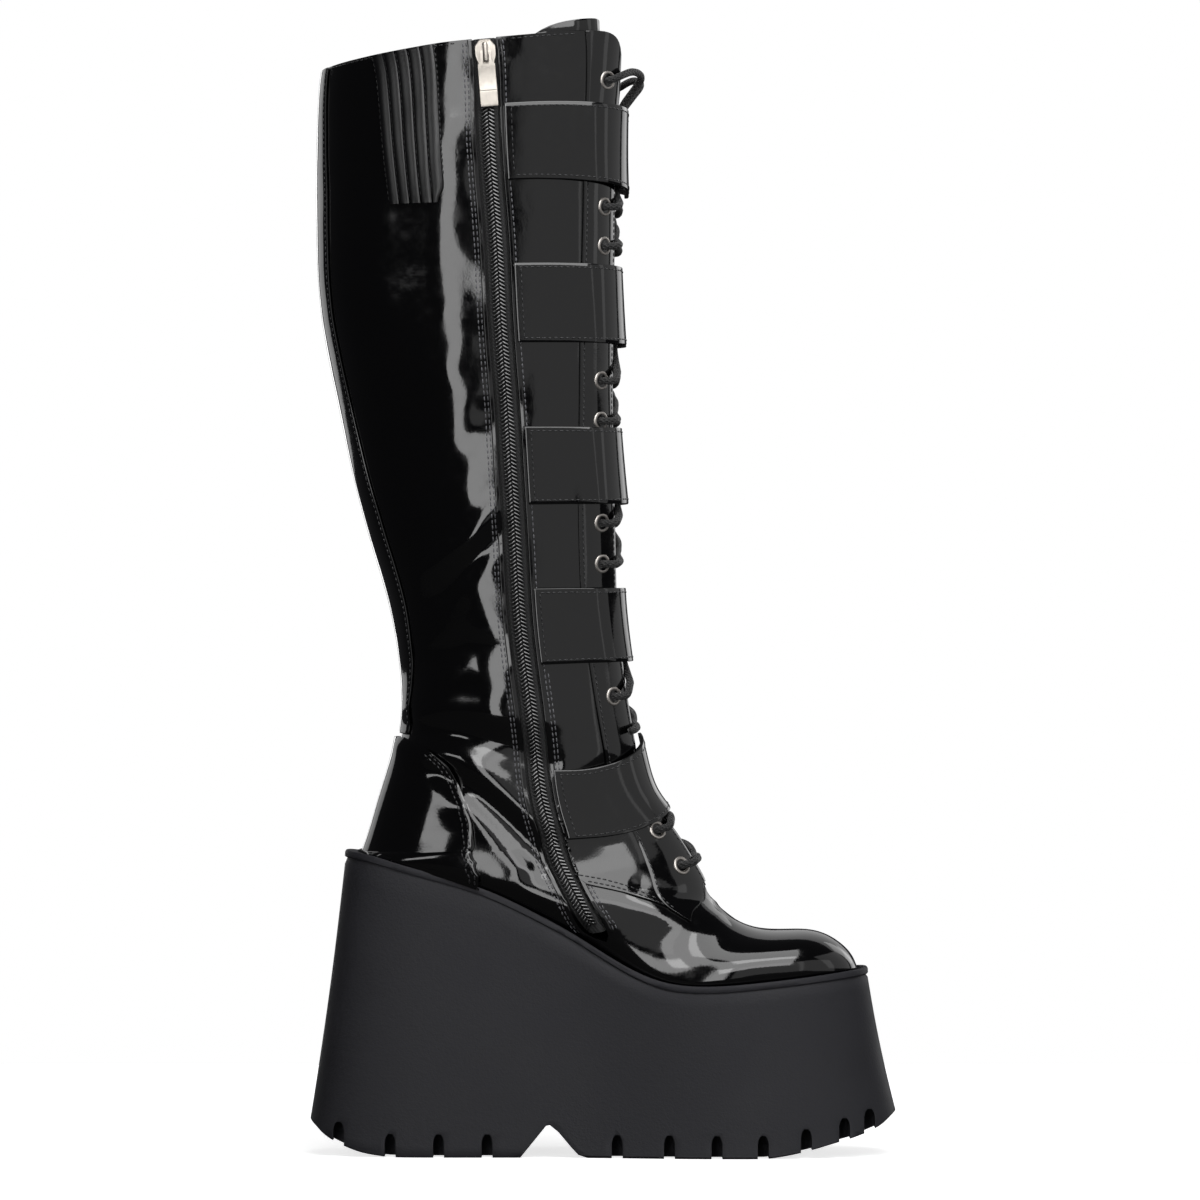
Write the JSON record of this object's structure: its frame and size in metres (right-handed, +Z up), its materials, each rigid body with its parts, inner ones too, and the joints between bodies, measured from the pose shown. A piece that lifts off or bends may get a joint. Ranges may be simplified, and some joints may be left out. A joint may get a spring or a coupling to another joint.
{
  "type": "platform boot",
  "caption": "Knee-high lace-up platform boot with a side zip, straps across the front and a tall lugged sole, for a left foot.",
  "frame": {"origin": "on the floor, on the flat of the forefoot tread, at the middle of the sole's length", "axes": "+X towards the toe, -Y towards the inner side of the foot, +Z up"},
  "size_m": [0.2808, 0.115, 0.5402],
  "materials": {
    "patent": "black patent, high gloss",
    "rubber": "matte charcoal foam rubber",
    "lining": "plain woven",
    "elastic": "ribbed, patent faced",
    "zip_tape": "woven tape with a nylon coil",
    "nickel": "satin nickel",
    "cord": "round braid"
  },
  "bodies": {
    "boot": {"sole": "rubber", "insole": "lining", "upper": "patent", "tongue": "patent", "heel_counter": "patent", "back_stay": "patent", "eyestay_inner": "patent", "eyestay_outer": "patent", "stretch_gusset": "elastic", "zip": "zip_tape", "zip_slider": "nickel", "strap_1": "patent", "strap_2": "patent", "strap_3": "patent", "strap_4": "patent", "strap_5": "patent", "eyelet_inner_1": "nickel", "eyelet_outer_1": "nickel", "eyelet_inner_2": "nickel", "eyelet_outer_2": "nickel", "eyelet_inner_3": "nickel", "eyelet_outer_3": "nickel", "eyelet_inner_4": "nickel", "eyelet_outer_4": "nickel", "eyelet_inner_5": "nickel", "eyelet_outer_5": "nickel", "eyelet_inner_6": "nickel", "eyelet_outer_6": "nickel", "eyelet_inner_7": "nickel", "eyelet_outer_7": "nickel", "eyelet_inner_8": "nickel", "eyelet_outer_8": "nickel", "eyelet_inner_9": "nickel", "eyelet_outer_9": "nickel", "eyelet_inner_10": "nickel", "eyelet_outer_10": "nickel", "lace_crossing_1": "cord", "lace_crossing_2": "cord", "lace_crossing_3": "cord", "lace_crossing_4": "cord", "lace_crossing_5": "cord", "lace_crossing_6": "cord", "lace_crossing_7": "cord", "lace_crossing_8": "cord", "lace_crossing_9": "cord", "lace_crossing_10": "cord", "lace_end_inner": "cord", "lace_end_outer": "cord"},
    "pull": {"zip_pull": "nickel"}
  },
  "joints": [
    {"name": "pull_swing", "type": "hinge", "parent": "boot", "child": "pull", "pos_m": [-0.05568, -0.05567, 0.52438], "axis": [-0.9968, 0, -0.08], "range_deg": [0, 160]}
  ]
}
